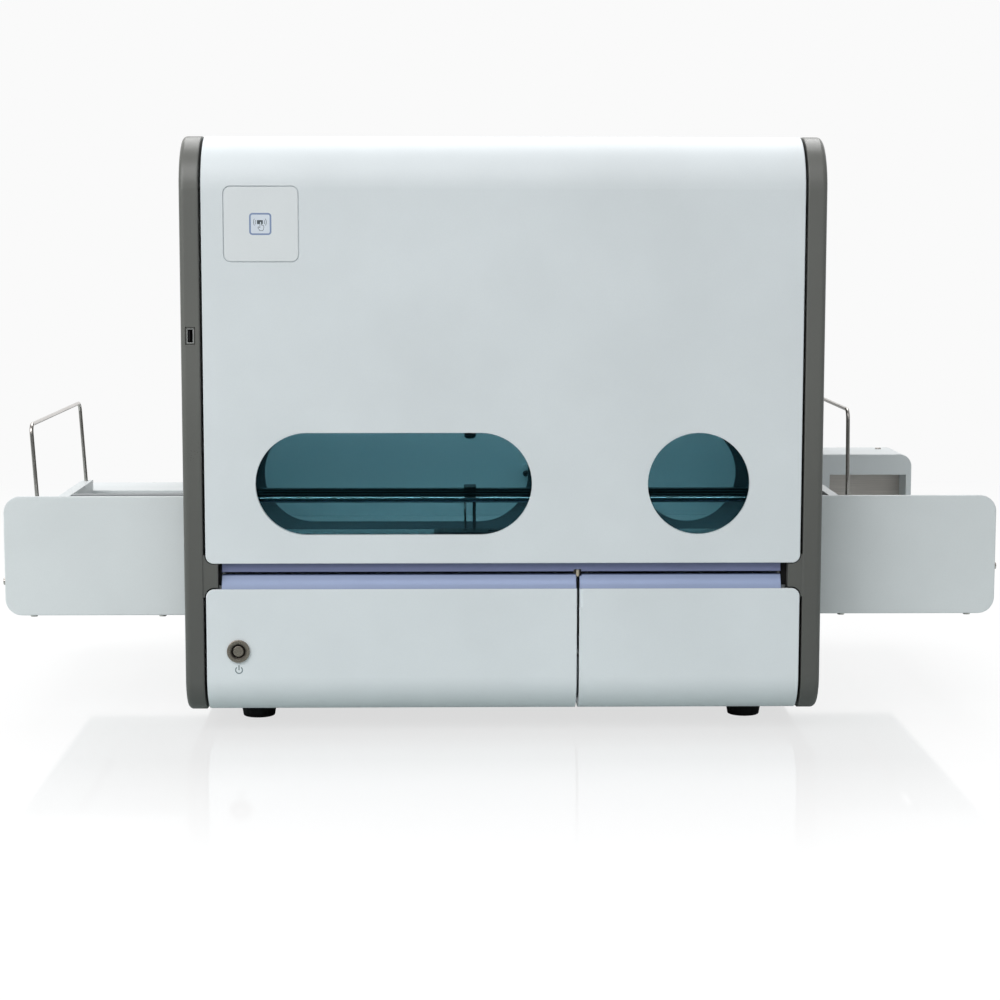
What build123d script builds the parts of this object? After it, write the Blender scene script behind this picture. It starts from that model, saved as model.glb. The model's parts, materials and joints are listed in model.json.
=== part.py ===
from build123d import *
import os
from math import cos, radians, sin

os.makedirs("parts", exist_ok=True)

# ---------------------------------------------------------------------------
# Benchtop urine analyzer. Millimetres, +Z up, the operator stands at -Y.
# Origin: middle of the footprint, on the surface that the feet stand on.
# In the helpers below "y" is counted from the front face of the body
# towards the rear, so YF turns it into the part's own Y.
# ---------------------------------------------------------------------------

# body
BODY_W = 600.0            # over the two side panels
BODY_D = 600.0            # front face to rear edge of the side panels
BODY_TOP = 563.0
BODY_BOT = 20.0
R_TOP = 50.0              # front top radius of hood and side panels
R_BOT = 35.0              # front bottom radius of covers and side panels
T_SIDE = 18.0             # side panel thickness
X_IN = BODY_W / 2 - T_SIDE            # 282, inner face of a side panel
X_FRONT = 279.5           # half width of hood, cover and drawer front
BEZEL_PROUD = 2.4         # power switch bezel in front of the body
YF = -(BODY_D - BEZEL_PROUD) / 2      # part Y of the body's front face

# front split lines
HOOD_BOT = 164.6
COVER_TOP = 140.2
COVER_BOT = 20.6
SEAM_L = 69.2             # right edge of the fixed lower cover
SEAM_R = 71.5             # left edge of the drawer front
TRIM_TOP = 152.4
BEAM_BOT = 155.6
STRIP_L = -264.9          # ends of the recessed accent strip
STRIP_R = 262.1

# windows (hood and inner partition share them)
WIN_L, WIN_H = 258.4, 95.8
WIN_X, WIN_Z = -102.7, 239.6
RND_D, RND_X = 95.6, 182.95
WALL = 4.0                # hood skin

# card reader pad
PAD_X, PAD_Z, PAD_S, PAD_R = -224.2, 480.8, 70.0, 7.0

# hood hinge
HINGE_Y, HINGE_Z, HINGE_X = 370.0, 549.0, 200.0
HOOD_REAR = 393.0
COVER_FRONT = 397.0
PIN_D = 6.0

# deck and partition
DECK_TOP = 183.4
DECK_Y0, DECK_Y1 = 80.0, 402.0
PART_Y = 106.0
BACK_Y = 215.0
FRAME_X = 270.0           # inner faces of the inner frames

# rail and carriage
ROD_D, ROD_Y, ROD_Z = 5.8, 50.0, 219.2
RAIL_Z0, RAIL_Z1, RAIL_Y0, RAIL_Y1 = 222.2, 229.4, 51.5, 61.5
CAR_X0, CAR_X1 = -36.9, -25.3
NEEDLE_X, POST_X, NEEDLE_Y = -35.7, -26.9, 69.0

# transfer lane
LANE_Y0, LANE_Y1 = 405.0, 441.0
BELT_Z, PULLEY_R, PULLEY_X = 104.0, 7.0, 252.0

# side trays
TRAY_X = 480.0
TRAY_Y = 66.0
TRAY_Z0, TRAY_Z1 = 105.0, 220.8
TRAY_R = 16.0
TRAY_FLOOR = 111.0
WIRE_D = 3.9

# power switch
SW_X, SW_Z = -249.7, 81.5

# USB socket
USB_X, USB_Z = -290.8, 377.9

# mains inlet, fan
INLET_X, INLET_Z = -215.0, 90.0
FAN_X, FAN_Z = 180.0, 350.0


def block(x0, x1, y0, y1, z0, z1, mode=Mode.ADD):
    """A box between two corners; y counts from the front face."""
    with Locations(((x0 + x1) / 2, YF + (y0 + y1) / 2, (z0 + z1) / 2)):
        Box(x1 - x0, y1 - y0, z1 - z0, mode=mode)


def rod_x(x0, x1, y, z, d, mode=Mode.ADD):
    """A round bar along X."""
    with Locations(Location(((x0 + x1) / 2, YF + y, z), (0, 90, 0))):
        Cylinder(d / 2, x1 - x0, mode=mode)


def rod_y(x, y0, y1, z, d, mode=Mode.ADD):
    """A round bar along Y."""
    with Locations(Location((x, YF + (y0 + y1) / 2, z), (90, 0, 0))):
        Cylinder(d / 2, y1 - y0, mode=mode)


def rod_z(x, y, z0, z1, d, mode=Mode.ADD):
    """A round bar along Z."""
    with Locations((x, YF + y, (z0 + z1) / 2)):
        Cylinder(d / 2, z1 - z0, mode=mode)


def front(y):
    """Sketch plane facing the operator; extruding goes towards the front."""
    return Plane.XZ.offset(-(YF + y))


def save(part, name):
    part.label = name
    export_step(part, "parts/" + name + ".step")


# ===========================================================================
# Base and frames
# ===========================================================================

with BuildPart() as base_chassis:
    block(-X_IN, X_IN, 64, 592, 22, 26)
    fillet(base_chassis.edges().filter_by(Axis.Z), 4)

with BuildPart() as feet:
    for fx in (-239.0, 240.0):
        for fy in (98.0, 520.0):
            with BuildSketch(Plane.XY) as foot_low:
                with Locations((fx, YF + fy)):
                    Circle(15.4)
            with BuildSketch(Plane.XY.offset(22)) as foot_high:
                with Locations((fx, YF + fy)):
                    Circle(19.0)
            loft(sections=[foot_low.sketch.faces()[0], foot_high.sketch.faces()[0]])
    fillet(feet.edges().filter_by(GeomType.CIRCLE).group_by(Axis.Z)[0], 1.2)

with BuildPart() as inner_frames:
    for fx in (-FRAME_X - 3, FRAME_X):
        with BuildSketch(Plane.YZ.offset(fx)) as frame_side:
            with BuildLine():
                Polyline(
                    (YF + 30, 26), (YF + 590, 26), (YF + 590, 520), (YF + 348, 520), (YF + 70, 500), (YF + 46, 470), (YF + 46, 190),
                    (YF + 30, 180), close=True,
                )
            make_face()
            with Locations((YF + 423, 167)):
                RectangleRounded(42, 158, 4, mode=Mode.SUBTRACT)
        extrude(frame_side.sketch, amount=3)

# ===========================================================================
# Side panels, with the slot that lets sample racks through
# ===========================================================================


def side_profile(y1=BODY_D, z0=BODY_BOT, z1=BODY_TOP):
    with BuildSketch(Plane.YZ.offset(X_IN)) as sk:
        with BuildLine():
            Line((YF, z0 + R_BOT), (YF, z1 - R_TOP))
            RadiusArc((YF, z1 - R_TOP), (YF + R_TOP, z1), R_TOP)
            Line((YF + R_TOP, z1), (YF + y1 - 14, z1))
            RadiusArc((YF + y1 - 14, z1), (YF + y1, z1 - 14), 14)
            Line((YF + y1, z1 - 14), (YF + y1, z0 + 8))
            RadiusArc((YF + y1, z0 + 8), (YF + y1 - 8, z0), 8)
            Line((YF + y1 - 8, z0), (YF + R_BOT, z0))
            RadiusArc((YF + R_BOT, z0), (YF, z0 + R_BOT), R_BOT)
        make_face()
        with Locations((YF + 423, 172)):
            RectangleRounded(37, 130, 5, mode=Mode.SUBTRACT)
    return sk


panel_profile = side_profile()

with BuildPart() as right_side_panel:
    extrude(panel_profile.sketch, amount=T_SIDE)
    outer_edges = (
        right_side_panel.faces().sort_by(Axis.X)[-1].outer_wire().edges()
    )
    fillet(outer_edges, 5.0)
    inner_edges = right_side_panel.faces().sort_by(Axis.X)[0].outer_wire().edges()
    chamfer(inner_edges, 0.8)
    # inward tab that fills the end of the gap between hood and drawer,
    # hollowed to follow their rounded corners
    with BuildSketch(front(20)) as tab:
        with Locations((275.35, 152.4)):
            Rectangle(14.3, 40)
        with Locations((240.25, 206.8)):
            RectangleRounded(80.5, 86.4, 8.5, mode=Mode.SUBTRACT)
        with Locations((240.25, 100.8)):
            RectangleRounded(80.5, 81.6, 8.5, mode=Mode.SUBTRACT)
    extrude(tab.sketch, amount=19)

with BuildPart() as left_side_panel:
    mirror(right_side_panel.part, about=Plane.YZ)
    # pocket and window for the service socket in the front edge
    block(USB_X - 4.6, USB_X + 4.6, -1, 17, USB_Z - 8.2, USB_Z + 8.2, mode=Mode.SUBTRACT)

with BuildPart() as usb_socket:
    with BuildSketch(front(16.8)):
        with Locations((USB_X, USB_Z)):
            RectangleRounded(8.8, 16.0, 1.0)
    extrude(amount=16.5)
    # socket mouth with its contact tongue
    with BuildSketch(front(12.0)):
        with Locations((USB_X, USB_Z)):
            Rectangle(5.0, 12.2)
    extrude(amount=14, mode=Mode.SUBTRACT)
    block(USB_X - 2.1, USB_X - 0.2, 2.2, 12.1, USB_Z - 5.3, USB_Z + 5.3)

# ===========================================================================
# Rear panel, top rear cover, cross beam
# ===========================================================================

with BuildPart() as rear_panel:
    with BuildSketch(front(598)):
        with Locations((0, (27 + 516) / 2)):
            RectangleRounded(2 * 281, 516 - 27, 3)
        # opening for the inlet block
        with Locations((INLET_X, INLET_Z)):
            RectangleRounded(50.4, 62.4, 2, mode=Mode.SUBTRACT)
        # fan grille: curved rows of slots
        with Locations((FAN_X, FAN_Z)):
            with PolarLocations(14, 6):
                SlotCenterToCenter(4, 3.4, rotation=90, mode=Mode.SUBTRACT)
            with PolarLocations(23, 10):
                SlotCenterToCenter(5, 3.4, rotation=90, mode=Mode.SUBTRACT)
            with PolarLocations(32, 14):
                SlotCenterToCenter(5, 3.4, rotation=90, mode=Mode.SUBTRACT)
        # ventilation louvres
        with Locations((-100, 430)):
            with GridLocations(14, 44, 14, 2):
                SlotOverall(34, 4.5, rotation=90, mode=Mode.SUBTRACT)
    extrude(amount=3)
    # shallow bays of the service connectors
    with BuildSketch(front(599)):
        with Locations((60, 88)):
            RectangleRounded(17, 14.5, 1)
        with Locations((100, 88)):
            RectangleRounded(32, 13, 2)
    extrude(amount=2.6, mode=Mode.SUBTRACT)
    # closed hose ports for wash liquid and liquid waste
    with BuildSketch(front(600)):
        with Locations((-60, 70), (-25, 70)):
            Circle(8)
    extrude(amount=2)
    with BuildSketch(front(600)):
        with Locations((-60, 70), (-25, 70)):
            Circle(4.5)
    extrude(amount=3, mode=Mode.SUBTRACT)

with BuildPart() as top_rear_cover:
    with BuildSketch(Plane.YZ.offset(-X_FRONT)):
        with BuildLine():
            Polyline(
                (YF + COVER_FRONT, BODY_TOP), (YF + 598 - 14, BODY_TOP),
            )
            RadiusArc((YF + 598 - 14, BODY_TOP), (YF + 598, BODY_TOP - 14), 14)
            Polyline(
                (YF + 598, BODY_TOP - 14), (YF + 598, 518), (YF + 595, 518),
                (YF + 595, BODY_TOP - 14),
            )
            RadiusArc((YF + 595, BODY_TOP - 14), (YF + 598 - 14, BODY_TOP - 3), -11)
            Polyline(
                (YF + 598 - 14, BODY_TOP - 3), (YF + COVER_FRONT + 3, BODY_TOP - 3),
                (YF + COVER_FRONT + 3, BODY_TOP - 15), (YF + COVER_FRONT, BODY_TOP - 15),
                (YF + COVER_FRONT, BODY_TOP),
            )
        make_face()
    extrude(amount=2 * X_FRONT)
    front_lip = top_rear_cover.edges().filter_by(Axis.X).group_by(Axis.Z)[-1].sort_by(Axis.Y)[0]
    fillet(front_lip, 2.5)
    # cross ribs that stand on the inner frames
    for rx in (-FRAME_X - 3, 0, FRAME_X):
        block(rx, rx + 3, 402, 590, 520, BODY_TOP - 3)
    # air slots over the rear part
    with BuildSketch(Plane.XY.offset(BODY_TOP)):
        with Locations((0, YF + 540)):
            with GridLocations(16, 10, 15, 1):
                SlotOverall(52, 4.5, rotation=90)
    extrude(amount=-4, mode=Mode.SUBTRACT)

with BuildPart() as front_cross_beam:
    block(STRIP_L, STRIP_R, 8, 20, BEAM_BOT, 176)
    block(-FRAME_X, FRAME_X, 20, 32, BEAM_BOT + 2, 176)
    fillet(front_cross_beam.edges().filter_by(Axis.X).group_by(Axis.Y)[0], 0.8)
    # relief for the drawer catch
    block(66.5, 73.5, 7, 21, BEAM_BOT - 1, 157.6, mode=Mode.SUBTRACT)

# ===========================================================================
# Lower front: fixed cover on the left
# ===========================================================================


def cover_profile(x0):
    """Section of the lower covers: upright front, round bottom edge."""
    t = 3.5
    with BuildSketch(Plane.YZ.offset(x0)) as sk:
        with BuildLine():
            Line((YF, COVER_TOP), (YF, COVER_BOT + R_BOT))
            RadiusArc((YF, COVER_BOT + R_BOT), (YF + R_BOT, COVER_BOT), -R_BOT)
            Polyline(
                (YF + R_BOT, COVER_BOT), (YF + 62, COVER_BOT), (YF + 62, COVER_BOT + t),
                (YF + R_BOT, COVER_BOT + t),
            )
            RadiusArc((YF + R_BOT, COVER_BOT + t), (YF + t, COVER_BOT + R_BOT), R_BOT - t)
            Polyline(
                (YF + t, COVER_BOT + R_BOT), (YF + t, COVER_TOP), (YF, COVER_TOP),
            )
        make_face()
    return sk


cover_section = cover_profile(-X_FRONT)
drawer_section = cover_profile(SEAM_R)

with BuildPart() as left_front_cover:
    extrude(cover_section.sketch, amount=SEAM_L + X_FRONT)
    # rounded upper left corner and softened seam edge
    with BuildSketch(front(70)):
        with BuildLine():
            Polyline(
                (-X_FRONT, 10), (SEAM_L, 10), (SEAM_L, COVER_TOP),
                (-X_FRONT + 7.5, COVER_TOP),
            )
            RadiusArc((-X_FRONT + 7.5, COVER_TOP), (-X_FRONT, COVER_TOP - 7.5), -7.5)
            Line((-X_FRONT, COVER_TOP - 7.5), (-X_FRONT, 10))
        make_face()
    extrude(amount=80, mode=Mode.INTERSECT)
    fillet(
        left_front_cover.edges().filter_by(
            lambda e: abs(e.center().Y - YF) < 0.01 and e.length > 30
        ),
        0.6,
    )
    # hole for the push button
    rod_y(SW_X, -5, 20, SW_Z, 16.2, mode=Mode.SUBTRACT)

with BuildPart() as left_cover_trim:
    with BuildSketch(Plane.YZ.offset(STRIP_L)):
        with BuildLine():
            Polyline(
                (YF + 1.2, COVER_TOP), (YF + 8.5, TRIM_TOP), (YF + 17, TRIM_TOP),
                (YF + 17, 134), (YF + 3.5, 134), (YF + 3.5, COVER_TOP), close=True,
            )
        make_face()
    extrude(amount=SEAM_L - STRIP_L - 0.6)

with BuildPart() as drawer_catch:
    block(68.9, 71.3, 9.2, 26, 150.6, 157.4)
    fillet(drawer_catch.edges().filter_by(Axis.Y), 0.6)
    block(66.8, 73.2, 20.5, 30, 150.6, 157.6)

# power switch: metal bezel with its threaded barrel, and the cap in it
with BuildPart() as power_switch_bezel:
    with BuildSketch(front(28)):
        with Locations((SW_X, SW_Z)):
            Circle(8.0)
            Circle(5.35, mode=Mode.SUBTRACT)
    extrude(amount=28)
    with BuildSketch(front(0)):
        with Locations((SW_X, SW_Z)):
            Circle(10.8)
            Circle(6.7, mode=Mode.SUBTRACT)
    extrude(amount=2.4)
    fillet(
        power_switch_bezel.edges().filter_by(GeomType.CIRCLE).group_by(Axis.Y)[0], 0.7
    )
    # clamping nut behind the cover
    with BuildSketch(front(9)):
        with Locations((SW_X, SW_Z)):
            RegularPolygon(11.5, 6)
            Circle(7.9, mode=Mode.SUBTRACT)
    extrude(amount=5.5)

with BuildPart() as power_button:
    with BuildSketch(front(20)):
        with Locations((SW_X, SW_Z)):
            Circle(5.1)
    extrude(amount=21.6)
    fillet(power_button.edges().filter_by(GeomType.CIRCLE).group_by(Axis.Y)[0], 0.6)

# ===========================================================================
# Lower front: strip waste drawer on the right
# ===========================================================================

with BuildPart() as drawer_front:
    extrude(drawer_section.sketch, amount=X_FRONT - SEAM_R)
    with BuildSketch(front(70)):
        with BuildLine():
            Polyline(
                (X_FRONT, 10), (SEAM_R, 10), (SEAM_R, COVER_TOP),
                (X_FRONT - 7.5, COVER_TOP),
            )
            RadiusArc((X_FRONT - 7.5, COVER_TOP), (X_FRONT, COVER_TOP - 7.5), 7.5)
            Line((X_FRONT, COVER_TOP - 7.5), (X_FRONT, 10))
        make_face()
    extrude(amount=80, mode=Mode.INTERSECT)
    fillet(
        drawer_front.edges().filter_by(
            lambda e: abs(e.center().Y - YF) < 0.01 and e.length > 30
        ),
        0.6,
    )
    # bevelled finger relief at the upper left edge
    with BuildSketch(Plane.XY.offset(122.6)):
        with BuildLine():
            Polyline(
                (SEAM_R - 1, YF - 1), (SEAM_R + 3.9, YF - 1), (SEAM_R + 3.4, YF + 0.01),
                (SEAM_R, YF + 3.0), (SEAM_R - 1, YF + 3.0), close=True,
            )
        make_face()
    extrude(amount=30, mode=Mode.SUBTRACT)

with BuildPart() as drawer_trim:
    with BuildSketch(Plane.YZ.offset(SEAM_R + 0.4)):
        with BuildLine():
            Polyline(
                (YF + 1.2, COVER_TOP), (YF + 8.5, TRIM_TOP), (YF + 17, TRIM_TOP),
                (YF + 17, 134), (YF + 3.5, 134), (YF + 3.5, COVER_TOP), close=True,
            )
        make_face()
    extrude(amount=STRIP_R - SEAM_R - 0.4)
    # notch that the catch drops into
    block(SEAM_R, SEAM_R + 2.4, 8, 18, 148.6, 153, mode=Mode.SUBTRACT)

with BuildPart() as drawer_box:
    # back plate with ribs that carry the drawer front
    block(84, 266, 13.5, 17, 33, 132)
    for rx in (84, 172, 262):
        block(rx, rx + 4, 3.5, 13.5, 64, 130)
    # sledge floor and sides
    block(84, 266, 17, 396, 33, 36)
    block(84, 86.5, 17, 396, 36, 76)
    block(263.5, 266, 17, 396, 36, 76)
    block(84, 266, 393.5, 396, 36, 60)
    # moving halves of the runners
    block(81.2, 84, 30, 396, 44, 56)
    block(266, 268.4, 30, 396, 44, 56)

with BuildPart() as waste_bin:
    with BuildSketch(Plane.XY.offset(36)) as bin_low:
        with Locations((175, YF + 200)):
            RectangleRounded(166, 356, 10)
    with BuildSketch(Plane.XY.offset(128)) as bin_high:
        with Locations((175, YF + 200)):
            RectangleRounded(172, 364, 12)
    loft(sections=[bin_low.sketch.faces()[0], bin_high.sketch.faces()[0]])
    bin_top = waste_bin.faces().sort_by(Axis.Z)[-1]
    offset(amount=-2.2, openings=bin_top)

with BuildPart() as drawer_runners:
    for x0, x1 in ((76.0, 78.6), (FRAME_X - 1.2, FRAME_X)):
        block(x0, x1, 36, 400, 36, 64)
    # channel lips that hold the moving halves
    block(78.6, 80.8, 36, 400, 36, 42)
    block(78.6, 80.8, 36, 400, 58, 64)
    # post that carries the inner channel
    block(73.2, 76.0, 70, 120, 26, 64)
    block(73.2, 76.0, 340, 390, 26, 64)

# ===========================================================================
# Hood: front and top in one shell, hinged at the top rear
# ===========================================================================

with BuildPart() as hood_shell:
    with BuildSketch(Plane.YZ.offset(-X_FRONT)) as hood_section:
        with BuildLine():
            Line((YF, HOOD_BOT), (YF, BODY_TOP - R_TOP))
            RadiusArc((YF, BODY_TOP - R_TOP), (YF + R_TOP, BODY_TOP), R_TOP)
            Polyline(
                (YF + R_TOP, BODY_TOP), (YF + HOOD_REAR, BODY_TOP),
                (YF + HOOD_REAR, BODY_TOP - WALL), (YF + R_TOP, BODY_TOP - WALL),
            )
            RadiusArc(
                (YF + R_TOP, BODY_TOP - WALL), (YF + WALL, BODY_TOP - R_TOP), -(R_TOP - WALL)
            )
            Polyline(
                (YF + WALL, BODY_TOP - R_TOP), (YF + WALL, HOOD_BOT), (YF, HOOD_BOT)
            )
        make_face()
    extrude(hood_section.sketch, amount=2 * X_FRONT)
    # side returns
    for x0 in (-X_FRONT, X_FRONT - 3.5):
        with BuildSketch(Plane.YZ.offset(x0)) as cheek:
            with BuildLine():
                Line((YF, HOOD_BOT), (YF, BODY_TOP - R_TOP))
                RadiusArc((YF, BODY_TOP - R_TOP), (YF + R_TOP, BODY_TOP), R_TOP)
                Polyline(
                    (YF + R_TOP, BODY_TOP), (YF + 330, BODY_TOP), (YF + 330, BODY_TOP - 26),
                    (YF + R_TOP, BODY_TOP - 26),
                )
                RadiusArc(
                    (YF + R_TOP, BODY_TOP - 26), (YF + 26, BODY_TOP - R_TOP), -(R_TOP - 26)
                )
                Polyline(
                    (YF + 26, BODY_TOP - R_TOP), (YF + 26, HOOD_BOT + 8), (YF + 18, HOOD_BOT),
                    (YF, HOOD_BOT),
                )
            make_face()
        extrude(cheek.sketch, amount=3.5)
    # round the two lower front corners
    with BuildSketch(front(BODY_D)) as hood_outline:
        with BuildLine():
            Polyline(
                (-X_FRONT + 7.5, HOOD_BOT), (X_FRONT - 7.5, HOOD_BOT),
            )
            RadiusArc((X_FRONT - 7.5, HOOD_BOT), (X_FRONT, HOOD_BOT + 7.5), -7.5)
            Polyline(
                (X_FRONT, HOOD_BOT + 7.5), (X_FRONT, BODY_TOP + 5),
                (-X_FRONT, BODY_TOP + 5), (-X_FRONT, HOOD_BOT + 7.5),
            )
            RadiusArc((-X_FRONT, HOOD_BOT + 7.5), (-X_FRONT + 7.5, HOOD_BOT), -7.5)
        make_face()
    extrude(hood_outline.sketch, amount=BODY_D + 10, mode=Mode.INTERSECT)
    # softened front outline
    fillet(
        hood_shell.edges().filter_by(
            lambda e: abs(e.center().Y - YF) < 0.01
            and (e.length > 300 or e.length < 13)
        ),
        0.7,
    )
    # rear edge that turns down past the fixed cover
    fillet(
        hood_shell.edges().filter_by(
            lambda e: abs(e.center().Y - (YF + HOOD_REAR)) < 0.01
            and abs(e.center().Z - BODY_TOP) < 0.01
            and e.length > 300
        ),
        3.0,
    )
    # windows
    with BuildSketch(front(WALL + 1)) as window_cut:
        with Locations((WIN_X, WIN_Z)):
            SlotOverall(WIN_L, WIN_H)
        with Locations((RND_X, WIN_Z)):
            Circle(RND_D / 2)
    extrude(window_cut.sketch, amount=WALL + 2, mode=Mode.SUBTRACT)
    # shallow pocket of the card reader pad
    with BuildSketch(front(1.2)) as pad_pocket:
        with Locations((PAD_X, PAD_Z)):
            RectangleRounded(PAD_S, PAD_S, PAD_R)
    extrude(pad_pocket.sketch, amount=3, mode=Mode.SUBTRACT)

with BuildPart() as reader_pad:
    with BuildSketch(front(1.2)):
        with Locations((PAD_X, PAD_Z)):
            RectangleRounded(PAD_S - 1.5, PAD_S - 1.5, PAD_R - 0.75)
    extrude(amount=1.2)
    fillet(reader_pad.faces().sort_by(Axis.Y)[0].outer_wire().edges(), 0.35)

with BuildPart() as hood_liner:
    with BuildSketch(front(WALL + 2)):
        with Locations((0, (172 + 505) / 2)):
            RectangleRounded(2 * 268, 505 - 172, 6)
        with Locations((WIN_X, WIN_Z + 1)):
            SlotOverall(WIN_L + 18, WIN_H + 18, mode=Mode.SUBTRACT)
        with Locations((RND_X, WIN_Z + 1)):
            Circle(RND_D / 2 + 9, mode=Mode.SUBTRACT)
    extrude(amount=2)

with BuildPart() as window_pane_long:
    with BuildSketch(front(WALL + 3)):
        with Locations((WIN_X, WIN_Z + 1)):
            SlotOverall(WIN_L + 16, WIN_H + 16)
    extrude(amount=3)

with BuildPart() as window_pane_round:
    with BuildSketch(front(WALL + 3)):
        with Locations((RND_X, WIN_Z + 1)):
            Circle(RND_D / 2 + 8)
    extrude(amount=3)

with BuildPart() as hinge_leaves:
    for hx in (-HINGE_X, HINGE_X):
        block(hx - 14, hx + 14, 332, 382, BODY_TOP - WALL - 2, BODY_TOP - WALL)
        for ex in (hx - 14, hx + 10.4):
            block(ex, ex + 3.6, HINGE_Y - 7, HINGE_Y + 7, HINGE_Z, BODY_TOP - WALL - 2)
            rod_x(ex, ex + 3.6, HINGE_Y, HINGE_Z, 14)
        rod_x(hx - 15, hx + 15, HINGE_Y, HINGE_Z, PIN_D + 0.1, mode=Mode.SUBTRACT)

with BuildPart() as hinge_beam:
    block(-FRAME_X, FRAME_X, 352, 388, 504, 516)
    for hx in (-HINGE_X, HINGE_X):
        block(hx - 10, hx + 10, HINGE_Y - 7, HINGE_Y + 7, 516, HINGE_Z)
        rod_x(hx - 10, hx + 10, HINGE_Y, HINGE_Z, 14)
        rod_x(hx - 15, hx + 15, HINGE_Y, HINGE_Z, PIN_D, mode=Mode.SUBTRACT)
        # gussets at the foot of each post
        block(hx - 10, hx + 10, HINGE_Y - 14, HINGE_Y - 7, 516, 524)

with BuildPart() as hinge_pins:
    for hx in (-HINGE_X, HINGE_X):
        rod_x(hx - 15, hx + 15, HINGE_Y, HINGE_Z, PIN_D)
    chamfer(hinge_pins.edges().filter_by(GeomType.CIRCLE), 0.5)

# ===========================================================================
# Inside of the hood: partition, back wall, deck, rail
# ===========================================================================

with BuildPart() as inner_partition:
    with BuildSketch(front(PART_Y + 2)):
        with Locations((0, (DECK_TOP + 490) / 2)):
            Rectangle(2 * (FRAME_X - 0.1), 490 - DECK_TOP)
        with Locations((WIN_X, WIN_Z - 0.5)):
            SlotOverall(WIN_L, WIN_H, mode=Mode.SUBTRACT)
        with Locations((RND_X, WIN_Z - 0.5)):
            Circle(RND_D / 2, mode=Mode.SUBTRACT)
    extrude(amount=2)
    # hood position sensor: arm and rounded nose that reach over the rail
    block(CAR_X0, CAR_X1, 60, PART_Y, 294, 300)
    with BuildSketch(front(60)):
        with Locations(((CAR_X0 + CAR_X1) / 2, 291)):
            RectangleRounded(CAR_X1 - CAR_X0, 26.4, 3.6)
    extrude(amount=10)

with BuildPart() as bay_back_wall:
    block(-FRAME_X + 0.1, FRAME_X - 0.1, BACK_Y, BACK_Y + 2, DECK_TOP, 470)
    # fixing stud that shows in the long window
    rod_y(27.4, BACK_Y - 4, BACK_Y, 234, 5.6)
    rod_y(-236, BACK_Y - 4, BACK_Y, 440, 5.6)

with BuildPart() as deck_plate:
    block(-FRAME_X, FRAME_X, DECK_Y0, DECK_Y1, DECK_TOP - 4, DECK_TOP)
    fillet(deck_plate.edges().filter_by(Axis.X).group_by(Axis.Y)[0].sort_by(Axis.Z)[-1], 1.0)

with BuildPart() as guide_rod:
    rod_x(-FRAME_X, FRAME_X, ROD_Y, ROD_Z, ROD_D)

with BuildPart() as rail_beam:
    block(-FRAME_X, FRAME_X, RAIL_Y0, RAIL_Y1, RAIL_Z0, RAIL_Z1)
    # two fine grooves along its face
    for gz in (224.5, 227.2):
        block(-FRAME_X - 1, FRAME_X + 1, RAIL_Y0 - 1, RAIL_Y0 + 0.6, gz - 0.4, gz + 0.4, mode=Mode.SUBTRACT)

with BuildPart() as carriage_block:
    # saddle over the rail beam
    block(CAR_X0, CAR_X1, 47.2, 66, RAIL_Z1 + 0.3, RAIL_Z1 + 2.0)
    block(CAR_X0, CAR_X1, 47.2, RAIL_Y0 - 0.4, RAIL_Z0 + 3.4, RAIL_Z1 + 2.0)
    # back plate
    block(CAR_X0, CAR_X1, RAIL_Y1 + 0.4, 73, 215, RAIL_Z1 + 2.0)
    # guide post beside the needle
    rod_z(POST_X, NEEDLE_Y, 188.6, 217, 3.2)
    # bore for the needle
    rod_z(NEEDLE_X, NEEDLE_Y, 180, 250, 2.5, mode=Mode.SUBTRACT)

with BuildPart() as sample_needle:
    rod_z(NEEDLE_X, NEEDLE_Y, 190.0, 231.0, 2.36)
    with Locations((NEEDLE_X, YF + NEEDLE_Y, 189.2)):
        Cone(0.5, 1.18, 1.6)

with BuildPart() as wash_station:
    block(-65.8, 9.0, 50, DECK_Y0, 158, 187.4)
    fillet(wash_station.edges().filter_by(Axis.Z), 2.0)
    # overflow wells
    rod_z(NEEDLE_X, NEEDLE_Y, 170, 195, 6.0, mode=Mode.SUBTRACT)
    rod_z(POST_X - 0.6, NEEDLE_Y, 176, 195, 6.4, mode=Mode.SUBTRACT)
    rod_z(-8, 66, 176, 195, 12, mode=Mode.SUBTRACT)

# ===========================================================================
# Measuring parts on the deck
# ===========================================================================

DRUM_Y, DRUM_Z, DRUM_R = 310.0, 242.0, 44.0

with BuildPart() as strip_drum_housing:
    block(80, 200, 248, 372, DECK_TOP, DECK_TOP + 4)
    for cx in (80, 196):
        block(cx, cx + 4, 248, 372, DECK_TOP + 4, 262)
    rod_x(70, 210, DRUM_Y, DRUM_Z, 8.1, mode=Mode.SUBTRACT)

with BuildPart() as strip_drum:
    rod_x(85, 195, DRUM_Y, DRUM_Z, 2 * DRUM_R)
    rod_x(78, 202, DRUM_Y, DRUM_Z, 8.0)
    # pick-up grooves for single test strips
    with BuildSketch(Plane.YZ.offset(84)) as grooves:
        with Locations((YF + DRUM_Y, DRUM_Z)):
            with PolarLocations(DRUM_R, 12):
                Rectangle(6, 6)
    extrude(grooves.sketch, amount=112, mode=Mode.SUBTRACT)

with BuildPart() as photometer_unit:
    block(-130, 30, 262, 362, DECK_TOP, 246)
    fillet(photometer_unit.edges().filter_by(Axis.Z), 8)
    # optics snout that looks down on the strip tray
    with BuildSketch(front(262)):
        with Locations((-50, 214)):
            Circle(17)
    extrude(amount=18)
    block(30, 72, 290, 330, DECK_TOP, 190)

# ===========================================================================
# Transfer lane: bed, belt, pulleys
# ===========================================================================

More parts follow.
